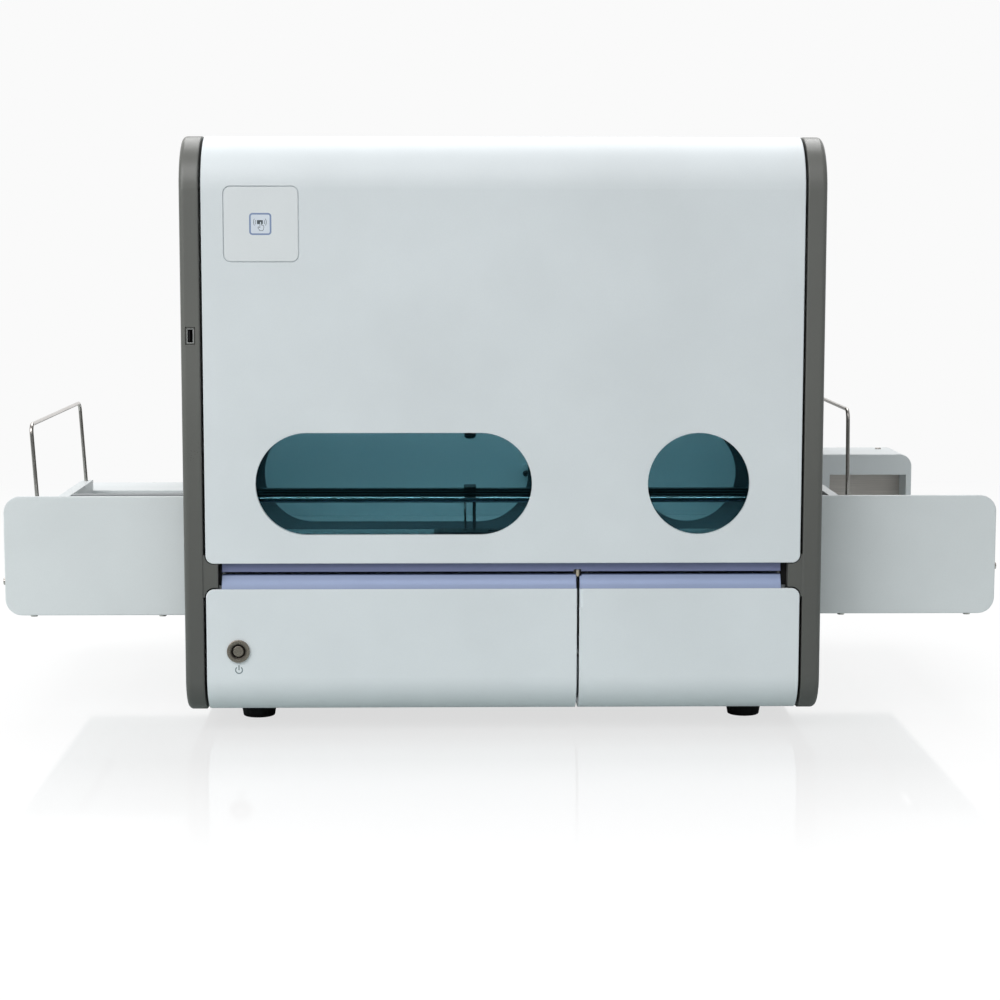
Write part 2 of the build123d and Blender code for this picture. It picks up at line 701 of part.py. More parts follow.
with BuildPart() as conveyor_bed:
    block(-281.8, 281.8, LANE_Y0, LANE_Y1, 90, 93)
    block(-281.8, 281.8, LANE_Y0, LANE_Y0 + 2, 93, 117)
    block(-281.8, 281.8, LANE_Y1 - 2, LANE_Y1, 93, 117)
    for px in (-PULLEY_X, PULLEY_X):
        rod_y(px, LANE_Y0 - 5, LANE_Y1 + 5, BELT_Z, 5.1, mode=Mode.SUBTRACT)
    # feet of the bed on the chassis
    for px in (-200, 0, 200):
        block(px - 8, px + 8, LANE_Y0 + 6, LANE_Y1 - 6, 26, 90)

with BuildPart() as conveyor_belt:
    with BuildSketch(front(LANE_Y1 - 5)):
        with Locations((0, BELT_Z)):
            SlotCenterToCenter(2 * PULLEY_X, 2 * (PULLEY_R + 1.8))
            SlotCenterToCenter(2 * PULLEY_X, 2 * (PULLEY_R + 0.3), mode=Mode.SUBTRACT)
    extrude(amount=LANE_Y1 - LANE_Y0 - 10)


def pulley(x):
    with Locations(Location((x, YF + (LANE_Y0 + LANE_Y1) / 2, BELT_Z), (90, 0, 0))):
        Cylinder(PULLEY_R, LANE_Y1 - LANE_Y0 - 9)
        Cylinder(2.5, LANE_Y1 - LANE_Y0 + 3)


with BuildPart() as drive_pulley:
    pulley(-PULLEY_X)
    # toothed drive wheel outside the bed wall
    rod_y(-PULLEY_X, LANE_Y1 + 1.5, LANE_Y1 + 8, BELT_Z, 18)

with BuildPart() as idler_pulley:
    pulley(PULLEY_X)

# ===========================================================================
# Electrics at the rear
# ===========================================================================

with BuildPart() as power_supply:
    block(-255, -105, 455, 560, 26, 84)
    with BuildSketch(Plane.XY.offset(84)):
        with Locations((-180, YF + 507)):
            with GridLocations(12, 10, 10, 1):
                SlotOverall(60, 5, rotation=90)
    extrude(amount=-3, mode=Mode.SUBTRACT)

with BuildPart() as control_board:
    block(-90, 110, 572, 574, 150, 310)
    for bx in (-80, 100):
        for bz in (160, 300):
            rod_y(bx, 574, 595, bz, 8)
    block(-60, -20, 562, 572, 180, 220)
    block(0, 60, 566, 572, 230, 290)
    block(20, 90, 564, 572, 165, 180)

with BuildPart() as fan_frame:
    with BuildSketch(front(595)):
        with Locations((FAN_X, FAN_Z)):
            RectangleRounded(80, 80, 5)
            Circle(37.6, mode=Mode.SUBTRACT)
            with GridLocations(71.5, 71.5, 2, 2):
                Circle(2.2, mode=Mode.SUBTRACT)
    extrude(amount=25)
    # struts and bearing boss
    with BuildSketch(front(595)):
        with Locations((FAN_X, FAN_Z)):
            Circle(15)
            with PolarLocations(27, 4, start_angle=45):
                Rectangle(26, 4)
    extrude(amount=4)
    rod_y(FAN_X, 585, 596, FAN_Z, 4.1, mode=Mode.SUBTRACT)

with BuildPart() as fan_rotor:
    rod_y(FAN_X, 572, 590, FAN_Z, 30)
    rod_y(FAN_X, 589, 594.5, FAN_Z, 4.0)
    with BuildSketch(Plane(origin=(FAN_X, YF + 588, FAN_Z), x_dir=(1, 0, 0), z_dir=(0, -1, 0))) as blade_root:
        with PolarLocations(25, 7):
            Rectangle(22.5, 3.4, rotation=0)
    extrude(blade_root.sketch, amount=13, taper=0)
    fillet(fan_rotor.edges().filter_by(GeomType.CIRCLE).group_by(Axis.Y)[0], 2.0)

with BuildPart() as mains_inlet:
    with BuildSketch(front(598)):
        with Locations((INLET_X, INLET_Z)):
            RectangleRounded(50, 62, 2)
    extrude(amount=36)
    # appliance socket
    socket_plane = Plane(
        origin=(INLET_X, YF + 598.5, INLET_Z - 13), x_dir=(1, 0, 0), z_dir=(0, -1, 0)
    )
    with BuildSketch(socket_plane):
        with BuildLine():
            Polyline((-12, -8), (12, -8), (12, 3.5), (7.5, 8), (-7.5, 8), (-12, 3.5), close=True)
        make_face()
    extrude(amount=18, mode=Mode.SUBTRACT)
    for dx, dz in ((-7, -1.0), (7, -1.0), (0, 3.0)):
        block(INLET_X + dx - 1, INLET_X + dx + 1, 579, 595, INLET_Z - 13 + dz - 2.2, INLET_Z - 13 + dz + 2.2)
    # well of the on/off rocker
    block(INLET_X - 10, INLET_X + 10, 588, 599, INLET_Z + 4, INLET_Z + 28, mode=Mode.SUBTRACT)

# rocker, drawn level about its pivot and laid in its off position
ROCKER_Y, ROCKER_Z, ROCKER_TILT = 591.0, INLET_Z + 16, 7.0

with BuildPart() as mains_rocker:
    rocker_plane = Plane(
        origin=(INLET_X - 9.4, YF + ROCKER_Y, ROCKER_Z),
        x_dir=(0, cos(radians(ROCKER_TILT)), sin(radians(ROCKER_TILT))),
        z_dir=(1, 0, 0),
    )
    with BuildSketch(rocker_plane) as rocker_section:
        with BuildLine():
            Polyline(
                (-1.0, -3), (5.6, -10.4), (7.4, -10.0), (6.2, 0),
                (7.4, 10.0), (5.6, 10.4), (-1.0, 3), close=True,
            )
        make_face()
    extrude(rocker_section.sketch, amount=18.8)
    # pivot stubs
    rod_x(INLET_X - 9.9, INLET_X + 9.9, ROCKER_Y, ROCKER_Z, 3.0)

# ===========================================================================
# Side trays for sample racks
# ===========================================================================


def fascia_outline(sign):
    with BuildSketch(front(TRAY_Y + 3)) as sk:
        with BuildLine():
            Polyline(
                (sign * (TRAY_X - TRAY_R), TRAY_Z0), (sign * 300, TRAY_Z0),
                (sign * 300, TRAY_Z1), (sign * (TRAY_X - TRAY_R), TRAY_Z1),
            )
            RadiusArc(
                (sign * (TRAY_X - TRAY_R), TRAY_Z1), (sign * TRAY_X, TRAY_Z1 - TRAY_R),
                sign * TRAY_R,
            )
            Line((sign * TRAY_X, TRAY_Z1 - TRAY_R), (sign * TRAY_X, TRAY_Z0 + TRAY_R))
            RadiusArc(
                (sign * TRAY_X, TRAY_Z0 + TRAY_R), (sign * (TRAY_X - TRAY_R), TRAY_Z0),
                sign * TRAY_R,
            )
        make_face()
    return sk


left_fascia_sk = fascia_outline(-1)
right_fascia_sk = fascia_outline(1)

with BuildPart() as left_tray_fascia:
    extrude(left_fascia_sk.sketch, amount=3)
    fillet(left_tray_fascia.faces().sort_by(Axis.Y)[0].outer_wire().edges().filter_by(
        lambda e: e.center().X < -301), 0.9)

with BuildPart() as right_tray_fascia:
    extrude(right_fascia_sk.sketch, amount=3)
    fillet(right_tray_fascia.faces().sort_by(Axis.Y)[0].outer_wire().edges().filter_by(
        lambda e: e.center().X > 301), 0.9)

LRAIL_X0, LRAIL_X1, LRAIL_Z = -464.0, -452.0, 196.7
RRAIL_X0, RRAIL_X1, RRAIL_Z = 340.0, 350.0, 205.0
TRAY_END = 526.0

# wire guards: x and z of a leg's foot on its rail and of the top bar
LWIRE = (-458.0, LRAIL_Z, -463.6, 284.6)
RWIRE = (346.0, RRAIL_Z, 345.0, 299.0)
LWIRE_Y, RWIRE_Y = (131, 429), (131, 393)
LEG_IN = 9.0              # how far a leg stands in its socket


def wire_socket(ends, y):
    """Bore for a leg of the wire guard, along the leg's own lean."""
    x0, z0, x1, z1 = ends
    lean = (x1 - x0) / (z1 - z0)
    deep = LEG_IN + 0.4
    with BuildSketch(
        Plane(origin=(x0 - lean * deep, YF + y, z0 - deep), z_dir=(lean, 0, 1))
    ) as bore:
        Circle(WIRE_D / 2 + 0.1)
    extrude(bore.sketch, amount=deep + 4, mode=Mode.SUBTRACT)


with BuildPart() as left_tray_base:
    block(-478, -300, TRAY_Y + 3, TRAY_END, 107, TRAY_FLOOR)
    # low outer wall
    block(-478, -475, TRAY_Y + 3, TRAY_END, TRAY_FLOOR, 168)
    fillet(left_tray_base.edges().filter_by(Axis.Y).filter_by(
        lambda e: abs(e.center().X + 478) < 0.01 and abs(e.center().Z - 107) < 0.01), 9.0)
    # guide rail that carries the wire guard
    block(LRAIL_X0, LRAIL_X1, TRAY_Y + 3, 440.5, TRAY_FLOOR, LRAIL_Z)
    # ledge beside the body
    block(-322, -300, TRAY_Y + 3, 403, TRAY_FLOOR, 150)
    # slot for the pusher's slider
    block(-420, -412, 84, 402, 106, TRAY_FLOOR + 1, mode=Mode.SUBTRACT)
    # sockets of the wire guard
    for wy in LWIRE_Y:
        wire_socket(LWIRE, wy)

with BuildPart() as right_tray_base:
    block(300, 478, TRAY_Y + 3, TRAY_END, 107, TRAY_FLOOR)
    block(475, 478, TRAY_Y + 3, TRAY_END, TRAY_FLOOR, 168)
    fillet(right_tray_base.edges().filter_by(Axis.Y).filter_by(
        lambda e: abs(e.center().X - 478) < 0.01 and abs(e.center().Z - 107) < 0.01), 9.0)
    block(RRAIL_X0, RRAIL_X1, TRAY_Y + 3, 403, TRAY_FLOOR, RRAIL_Z)
    block(408, 416, 74, 402, 106, TRAY_FLOOR + 1, mode=Mode.SUBTRACT)
    for wy in RWIRE_Y:
        wire_socket(RWIRE, wy)


def wire_loop(ends, ys, r=9.0):
    """Bent round wire: two legs and a top bar, standing in its sockets."""
    x0, z0, x1, z1 = ends
    lean = (x1 - x0) / (z1 - z0)
    foot_x, foot_z = x0 - lean * LEG_IN, z0 - LEG_IN
    with BuildLine() as path:
        FilletPolyline(
            (foot_x, YF + ys[0], foot_z),
            (x1, YF + ys[0], z1),
            (x1, YF + ys[1], z1),
            (foot_x, YF + ys[1], foot_z),
            radius=r,
        )
    return path


left_loop = wire_loop(LWIRE, LWIRE_Y)
right_loop = wire_loop(RWIRE, RWIRE_Y)

with BuildPart() as left_wire_guard:
    with BuildSketch(Plane(left_loop.line @ 0, z_dir=left_loop.line % 0)):
        Circle(WIRE_D / 2)
    sweep(path=left_loop.line)

with BuildPart() as right_wire_guard:
    with BuildSketch(Plane(right_loop.line @ 0, z_dir=right_loop.line % 0)):
        Circle(WIRE_D / 2)
    sweep(path=right_loop.line)

with BuildPart() as left_rear_housing:
    block(-474.5, -300, 441.5, TRAY_END - 1, TRAY_FLOOR, 184.8)
    fillet(left_rear_housing.edges().filter_by(Axis.Z).group_by(Axis.X)[0], 8)
    fillet(left_rear_housing.faces().sort_by(Axis.Z)[-1].outer_wire().edges().filter_by(
        lambda e: e.center().X < -301), 1.2)

BOX_X1, BOX_Z1 = 472.6, 224.6

with BuildPart() as right_rear_housing:
    with BuildSketch(front(TRAY_END - 1)):
        with BuildLine():
            Polyline(
                (BOX_X1, TRAY_FLOOR), (300, TRAY_FLOOR), (300, BOX_Z1), (BOX_X1 - 14, BOX_Z1),
            )
            RadiusArc((BOX_X1 - 14, BOX_Z1), (BOX_X1, BOX_Z1 - 14), 14)
            Line((BOX_X1, BOX_Z1 - 14), (BOX_X1, TRAY_FLOOR))
        make_face()
    extrude(amount=TRAY_END - 1 - 441.5)
    fillet(right_rear_housing.faces().sort_by(Axis.Y)[0].outer_wire().edges().filter_by(
        lambda e: e.center().X > 301 and e.center().Z > TRAY_FLOOR + 1), 1.2)
    # open bay for the end of the transfer lane
    block(379.5, 466.4, 440, 482, TRAY_FLOOR - 1, 201.3, mode=Mode.SUBTRACT)

with BuildPart() as housing_backplate:
    block(379.5, 466.4, 480, 482, TRAY_FLOOR, 201.3)
    block(379.5, 466.4, 474, 480, TRAY_FLOOR, 118)

with BuildPart() as tray_screws:
    for sx in (-453.9, -329.4, 331.4, 454.8):
        rod_z(sx, 73.2, 103.0, 107, 7.0)
    rod_x(-483, -478, 76, 137, 7.0)
    rod_x(478, 483, 76, 150.5, 7.0)
    rod_z(446.0, 506, BOX_Z1, BOX_Z1 + 1.6, 7.0)
    fillet(tray_screws.edges().filter_by(GeomType.CIRCLE).filter_by(
        lambda e: abs(abs(e.center().X) - 483) < 0.01
        or abs(e.center().Z - 103.0) < 0.01
        or abs(e.center().Z - BOX_Z1 - 1.6) < 0.01), 0.7)

with BuildPart() as left_rack_pusher:
    block(-451.4, -322.6, 286, 298, TRAY_FLOOR + 0.6, 197.4)
    block(-322.6, -304, 286, 298, 151, 197.4)
    fillet(left_rack_pusher.edges().filter_by(Axis.Z), 1.2)
    # slider foot in the floor slot
    block(-419.6, -412.4, 280, 304, 107.4, TRAY_FLOOR + 0.7)

with BuildPart() as right_rack_pusher:
    block(350.6, 474.4, 80, 92, TRAY_FLOOR + 0.6, 190)
    fillet(right_rack_pusher.edges().filter_by(Axis.Z), 1.2)
    block(408.4, 415.6, 76, 100, 107.4, TRAY_FLOOR + 0.7)

# ---------------------------------------------------------------------------

pieces = {
    "base_chassis": base_chassis, "feet": feet, "inner_frames": inner_frames,
    "left_side_panel": left_side_panel, "right_side_panel": right_side_panel,
    "usb_socket": usb_socket, "rear_panel": rear_panel, "top_rear_cover": top_rear_cover,
    "front_cross_beam": front_cross_beam, "left_front_cover": left_front_cover,
    "left_cover_trim": left_cover_trim, "drawer_catch": drawer_catch,
    "power_switch_bezel": power_switch_bezel, "power_button": power_button,
    "drawer_front": drawer_front, "drawer_trim": drawer_trim, "drawer_box": drawer_box,
    "waste_bin": waste_bin, "drawer_runners": drawer_runners, "hood_shell": hood_shell,
    "reader_pad": reader_pad, "hood_liner": hood_liner,
    "window_pane_long": window_pane_long, "window_pane_round": window_pane_round,
    "hinge_leaves": hinge_leaves, "hinge_beam": hinge_beam, "hinge_pins": hinge_pins,
    "inner_partition": inner_partition, "bay_back_wall": bay_back_wall,
    "deck_plate": deck_plate, "guide_rod": guide_rod, "rail_beam": rail_beam,
    "carriage_block": carriage_block, "sample_needle": sample_needle,
    "wash_station": wash_station, "strip_drum_housing": strip_drum_housing,
    "strip_drum": strip_drum, "photometer_unit": photometer_unit,
    "conveyor_bed": conveyor_bed, "conveyor_belt": conveyor_belt,
    "drive_pulley": drive_pulley, "idler_pulley": idler_pulley,
    "power_supply": power_supply, "control_board": control_board,
    "fan_frame": fan_frame, "fan_rotor": fan_rotor, "mains_inlet": mains_inlet,
    "mains_rocker": mains_rocker, "left_tray_fascia": left_tray_fascia,
    "right_tray_fascia": right_tray_fascia, "left_tray_base": left_tray_base,
    "right_tray_base": right_tray_base, "left_wire_guard": left_wire_guard,
    "right_wire_guard": right_wire_guard, "left_rear_housing": left_rear_housing,
    "right_rear_housing": right_rear_housing, "housing_backplate": housing_backplate,
    "tray_screws": tray_screws, "left_rack_pusher": left_rack_pusher,
    "right_rack_pusher": right_rack_pusher,
}
for name, piece in pieces.items():
    save(piece.part, name)
print(len(pieces), "pieces")
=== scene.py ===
import bpy, bmesh, json, math
from mathutils import Vector, Matrix


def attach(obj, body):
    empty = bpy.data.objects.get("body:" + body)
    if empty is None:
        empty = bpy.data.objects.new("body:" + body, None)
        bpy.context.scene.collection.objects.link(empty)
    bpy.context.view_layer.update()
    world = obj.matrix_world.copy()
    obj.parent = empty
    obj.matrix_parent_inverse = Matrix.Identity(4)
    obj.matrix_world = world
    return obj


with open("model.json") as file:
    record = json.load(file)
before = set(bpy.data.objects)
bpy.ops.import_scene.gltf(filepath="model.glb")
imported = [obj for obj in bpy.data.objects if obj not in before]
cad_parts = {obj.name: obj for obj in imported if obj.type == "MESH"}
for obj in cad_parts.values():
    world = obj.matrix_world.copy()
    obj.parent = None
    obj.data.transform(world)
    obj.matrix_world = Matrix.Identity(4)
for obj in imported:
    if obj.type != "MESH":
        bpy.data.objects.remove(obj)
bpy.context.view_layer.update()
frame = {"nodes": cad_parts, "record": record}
NODES = frame["nodes"]
YF = -0.2988              # Y of the body's front face, metres


def P(x, y, z):
    """Millimetres, y counted from the front face, to metres in the frame."""
    return Vector((x / 1000, y / 1000 + YF, z / 1000))


# ---------------------------------------------------------------------------
# Node helpers
# ---------------------------------------------------------------------------

def lin(r, g, b):
    """sRGB 0..255 to linear RGBA."""
    out = []
    for c in (r, g, b):
        c /= 255
        out.append(c / 12.92 if c <= 0.04045 else ((c + 0.055) / 1.055) ** 2.4)
    return (*out, 1.0)


class Mat:
    """A material under construction: small wrappers over its node tree."""

    def __init__(self, name):
        self.m = bpy.data.materials.new(name)
        self.m.use_nodes = True
        self.nt = self.m.node_tree
        self.nt.nodes.clear()
        self.out = self.nt.nodes.new("ShaderNodeOutputMaterial")
        self.bsdf = self.nt.nodes.new("ShaderNodeBsdfPrincipled")
        self.nt.links.new(self.bsdf.outputs[0], self.out.inputs["Surface"])
        self._obj = None

    def node(self, kind, **kw):
        n = self.nt.nodes.new(kind)
        for k, v in kw.items():
            setattr(n, k, v)
        return n

    def link(self, a, b):
        self.nt.links.new(a, b)

    def set(self, **kw):
        for k, v in kw.items():
            self.bsdf.inputs[k.replace("_", " ")].default_value = v
        return self

    @property
    def coords(self):
        if self._obj is None:
            self._obj = self.node("ShaderNodeTexCoord").outputs["Object"]
        return self._obj

    def mapped(self, scale=(1, 1, 1), rot=(0, 0, 0), loc=(0, 0, 0)):
        n = self.node("ShaderNodeMapping")
        n.inputs["Scale"].default_value = scale
        n.inputs["Rotation"].default_value = rot
        n.inputs["Location"].default_value = loc
        self.link(self.coords, n.inputs["Vector"])
        return n.outputs[0]

    def noise(self, scale, detail=2.0, rough=0.5, vec=None, distortion=0.0):
        n = self.node("ShaderNodeTexNoise")
        n.inputs["Scale"].default_value = scale
        n.inputs["Detail"].default_value = detail
        n.inputs["Roughness"].default_value = rough
        n.inputs["Distortion"].default_value = distortion
        self.link(vec or self.coords, n.inputs["Vector"])
        return n.outputs["Fac"]

    def voronoi(self, scale, vec=None, feature="F1", out="Distance"):
        n = self.node("ShaderNodeTexVoronoi", feature=feature)
        n.inputs["Scale"].default_value = scale
        self.link(vec or self.coords, n.inputs["Vector"])
        return n.outputs[out]

    def ramp(self, fac, lo, hi, a=0.0, b=1.0):
        n = self.node("ShaderNodeMapRange")
        n.inputs["From Min"].default_value = lo
        n.inputs["From Max"].default_value = hi
        n.inputs["To Min"].default_value = a
        n.inputs["To Max"].default_value = b
        self.link(fac, n.inputs["Value"])
        return n.outputs[0]

    def math(self, op, a, b=None, clamp=False):
        n = self.node("ShaderNodeMath", operation=op, use_clamp=clamp)
        for i, v in enumerate((a, b)):
            if v is None:
                continue
            if isinstance(v, (int, float)):
                n.inputs[i].default_value = v
            else:
                self.link(v, n.inputs[i])
        return n.outputs[0]

    def mix(self, fac, a, b, blend="MIX"):
        n = self.node("ShaderNodeMix", data_type="RGBA", blend_type=blend)
        if isinstance(fac, (int, float)):
            n.inputs["Factor"].default_value = fac
        else:
            self.link(fac, n.inputs["Factor"])
        for v, key in ((a, "A"), (b, "B")):
            socket = [s for s in n.inputs if s.name == key and s.type == "RGBA"][0]
            if isinstance(v, tuple):
                socket.default_value = v
            else:
                self.link(v, socket)
        return [s for s in n.outputs if s.type == "RGBA"][0]

    def edges(self, radius=0.0009, lo=0.015, hi=0.25, samples=4):
        """1 along the edges of the piece, 0 on its faces."""
        bev = self.node("ShaderNodeBevel", samples=samples)
        bev.inputs["Radius"].default_value = radius
        self._round = bev.outputs[0]
        geo = self.node("ShaderNodeNewGeometry")
        dot = self.node("ShaderNodeVectorMath", operation="DOT_PRODUCT")
        self.link(bev.outputs[0], dot.inputs[0])
        self.link(geo.outputs["True Normal"], dot.inputs[1])
        return self.ramp(self.math("SUBTRACT", 1.0, dot.outputs["Value"]), lo, hi)

    def bump(self, height, strength=0.2, distance=0.0002):
        n = self.node("ShaderNodeBump")
        n.inputs["Strength"].default_value = strength
        n.inputs["Distance"].default_value = distance
        self.link(height, n.inputs["Height"])
        old = self.bsdf.inputs["Normal"]
        if old.is_linked:
            self.link(old.links[0].from_socket, n.inputs["Normal"])
        elif getattr(self, "_round", None) is not None:
            self.link(self._round, n.inputs["Normal"])
        self.link(n.outputs[0], old)
        return n

    def color(self, sock):
        self.link(sock, self.bsdf.inputs["Base Color"])

    def rough(self, sock):
        self.link(sock, self.bsdf.inputs["Roughness"])

    def near(self, which, centre, half, soft=0.00005):
        """1 within half of a coordinate along one axis, 0 outside."""
        d = self.math("ABSOLUTE", self.math("SUBTRACT", self.axis(which), centre))
        return self.ramp(d, half - soft, half + soft, 1.0, 0.0)

    def radius(self, cx, cz):
        """Distance from an axis that runs along Y, in metres."""
        dx = self.math("SUBTRACT", self.axis("X"), cx)
        dz = self.math("SUBTRACT", self.axis("Z"), cz)
        return self.math("SQRT", self.math("ADD", self.math("MULTIPLY", dx, dx),
                                           self.math("MULTIPLY", dz, dz)))

    def axis(self, which):
        if not hasattr(self, "_sep"):
            self._sep = self.node("ShaderNodeSeparateXYZ")
            self.link(self.coords, self._sep.inputs[0])
        return self._sep.outputs[which]


def shade(c, k):
    return (min(1, c[0] * k), min(1, c[1] * k), min(1, c[2] * k), 1.0)


def plastic(name, col, rough=0.42, grain=0.10, grain_mm=0.55, wear=0.35, wear_col=None,
            blotch=0.03, spec=0.4, orange=0.0, paint=None):
    """Moulded or painted skin: faint blotches, a spark-eroded or paint texture, scuffed edges."""
    m = Mat(name)
    m.set(Specular_IOR_Level=spec)
    cloud = m.noise(9.0, 3.0, 0.55)
    speck = m.noise(1000 / (grain_mm * 2.2), 2.0, 0.6)
    tone = m.mix(m.ramp(cloud, 0.3, 0.7), shade(col, 1 - blotch), shade(col, 1 + blotch))
    tone = m.mix(m.ramp(speck, 0.35, 0.75, 0.0, 0.10), tone, shade(col, 0.82))
    if wear:
        edge = m.edges()
        broken = m.ramp(m.noise(140.0, 3.0, 0.6), 0.42, 0.72)
        edge = m.math("MULTIPLY", edge, m.math("MULTIPLY", m.ramp(broken, 0, 1, 0.35, 1.0), wear))
        tone = m.mix(edge, tone, wear_col or shade(col, 1.18))
    if paint:
        tone = paint(m, tone)
    m.color(tone)
    smear = m.noise(5.0, 4.0, 0.65, vec=m.mapped((1, 1, 2.6), (0.3, 0.1, 0.2)))
    r = m.ramp(smear, 0.3, 0.7, rough - 0.05, rough + 0.06)
    r = m.math("ADD", r, m.ramp(speck, 0.3, 0.7, -0.03, 0.03))
    m.rough(r)
    pits = m.voronoi(1000 / grain_mm)
    m.bump(m.math("ADD", m.ramp(pits, 0.0, 0.8), m.ramp(speck, 0.2, 0.8)), grain, 0.00006)
    if orange:
        m.bump(m.noise(160.0, 1.0, 0.4), orange, 0.0002)
    return m


def metal(name, col, rough=0.3, streak=(1, 220, 220), scale=26.0, depth=0.06, aniso=0.0,
          wear=0.25, var=0.10):
    """Brushed or drawn metal: long streaks in one direction, faint smudges, bright edges."""
    m = Mat(name)
    m.set(Metallic=1.0, Anisotropic=aniso)
    line = m.noise(scale, 5.0, 0.7, vec=m.mapped(streak))
    smudge = m.noise(22.0, 3.0, 0.6)
    tone = m.mix(m.ramp(line, 0.3, 0.7), shade(col, 1 - var), shade(col, 1 + var))
    tone = m.mix(m.ramp(smudge, 0.45, 0.75, 0.0, 0.18), tone, shade(col, 0.72))
    if wear:
        tone = m.mix(m.math("MULTIPLY", m.edges(0.0006), wear), tone, shade(col, 1.5))
    m.color(tone)
    r = m.math("ADD", m.ramp(line, 0.3, 0.7, rough - 0.05, rough + 0.05),
               m.ramp(smudge, 0.4, 0.8, 0.0, 0.10))
    m.rough(r)
    m.bump(line, depth, 0.0001)
    return m


# ---------------------------------------------------------------------------
# Materials
# ---------------------------------------------------------------------------

WHITE = (0.79, 0.84, 0.862, 1)
M = {}
M["white_shell"] = plastic("white_shell_skin", WHITE, 0.40, 0.10, 0.5, 0.30, spec=0.38)


def painted_light_falloff(m, tone):
    """Painted light: the moulding's colour runs slightly darker towards the foot of the panel and lighter
    at its top, as the overhead light falls.
    """
    light_falloff = m.ramp(m.axis("Z"), 0.04, 0.34, 0.70, 1.13)
    grey = m.node("ShaderNodeCombineColor")
    for i in range(3):
        m.link(light_falloff, grey.inputs[i])
    return m.mix(1.0, tone, grey.outputs[0], blend="MULTIPLY")


# the side panels take painted shade that darkens their colour towards the foot
M["side_grey"] = plastic("side_panel_skin", (0.128, 0.130, 0.120, 1), 0.34, 0.12, 0.6, 0.40,
                         wear_col=(0.24, 0.24, 0.22, 1), spec=0.65, paint=painted_light_falloff)
M["tray_white"] = plastic("tray_skin", (0.76, 0.80, 0.81, 1), 0.42, 0.12, 0.6, 0.35, spec=0.4)
M["accent_band"] = plastic("accent_band_skin", (0.295, 0.36, 0.54, 1), 0.38, 0.08, 0.5, 0.2)
# the beam has the band's accent colour, made darker as painted shade under the hood's overhang
M["accent_dark"] = plastic("beam_accent_shaded", (0.23, 0.255, 0.43, 1), 0.42, 0.08, 0.7, 0.3, orange=0.05)
M["reader_pad"] = plastic("reader_pad_skin", (0.82, 0.858, 0.872, 1), 0.34, 0.06, 0.45, 0.2, spec=0.42)
M["black_plastic"] = plastic("black_moulded", (0.030, 0.036, 0.040, 1), 0.48, 0.16, 0.7, 0.5,
                             wear_col=(0.10, 0.11, 0.12, 1), spec=0.35)
M["bay_wall"] = plastic("bay_paint", (0.70, 0.74, 0.76, 1), 0.5, 0.08, 0.8, 0.3, orange=0.06)
M["frame_steel"] = plastic("frame_powder_coat", (0.40, 0.42, 0.43, 1), 0.5, 0.22, 0.9, 0.5, orange=0.12)
M["rubber_foot"] = plastic("foot_rubber", (0.012, 0.012, 0.012, 1), 0.62, 0.25, 0.5, 0.4,
                           wear_col=(0.05, 0.05, 0.05, 1), spec=0.3)
M["grey_plastic"] = plastic("grey_moulded", (0.30, 0.32, 0.33, 1), 0.5, 0.16, 0.7, 0.4)
M["catch_beige"] = plastic("catch_acetal", (0.62, 0.55, 0.42, 1), 0.4, 0.08, 0.5, 0.2)
M["drum_white"] = plastic("drum_acetal", (0.78, 0.78, 0.75, 1), 0.38, 0.05, 0.5, 0.2)
M["belt_rubber"] = plastic("belt_cover", (0.02, 0.02, 0.022, 1), 0.6, 0.3, 0.9, 0.3)
M["pulley_plastic"] = plastic("pulley_acetal", (0.05, 0.05, 0.055, 1), 0.42, 0.08, 0.5, 0.3)
M["polished_steel"] = metal("wire_steel", (0.56, 0.53, 0.50, 1), 0.16, (40, 40, 1), 40, 0.03, wear=0.0)
M["rail_aluminium"] = metal("bare_aluminium", (0.62, 0.63, 0.64, 1), 0.36, (1, 160, 160), 20, 0.05)


def painted_groove_highlights(m, tone):
    """Painted highlights: the two fine grooves are drawn as light lines, standing for the light they
    catch.
    """
    highlight_lines = m.math("MAXIMUM", m.near("Z", 0.2245, 0.00045), m.near("Z", 0.2272, 0.00045))
    return m.mix(highlight_lines, tone, (0.20, 0.26, 0.28, 1))


# the rail carries painted highlight lines along its two grooves
M["rail_black"] = plastic("rail_anodised", (0.026, 0.038, 0.044, 1), 0.42, 0.02, 0.5, 0.25,
                          wear_col=(0.16, 0.19, 0.20, 1), spec=0.3, paint=painted_groove_highlights)
M["brushed_plate"] = metal("brushed_plate", (0.57, 0.525, 0.485, 1), 0.34, (1, 1, 160), 18, 0.06, var=0.20)
M["partition"] = plastic("partition_skin", (0.150, 0.180, 0.200, 1), 0.5, 0.10, 0.7, 0.4,
                         wear_col=(0.26, 0.30, 0.33, 1), spec=0.3)
M["bay_deck"] = plastic("deck_paint", (0.46, 0.50, 0.51, 1), 0.55, 0.08, 0.8, 0.3, orange=0.06)
M["rod_steel"] = metal("rod_ground_steel", (0.74, 0.76, 0.78, 1), 0.15, (1, 1, 1), 9, 0.002, wear=0.0,
                       var=0.03)


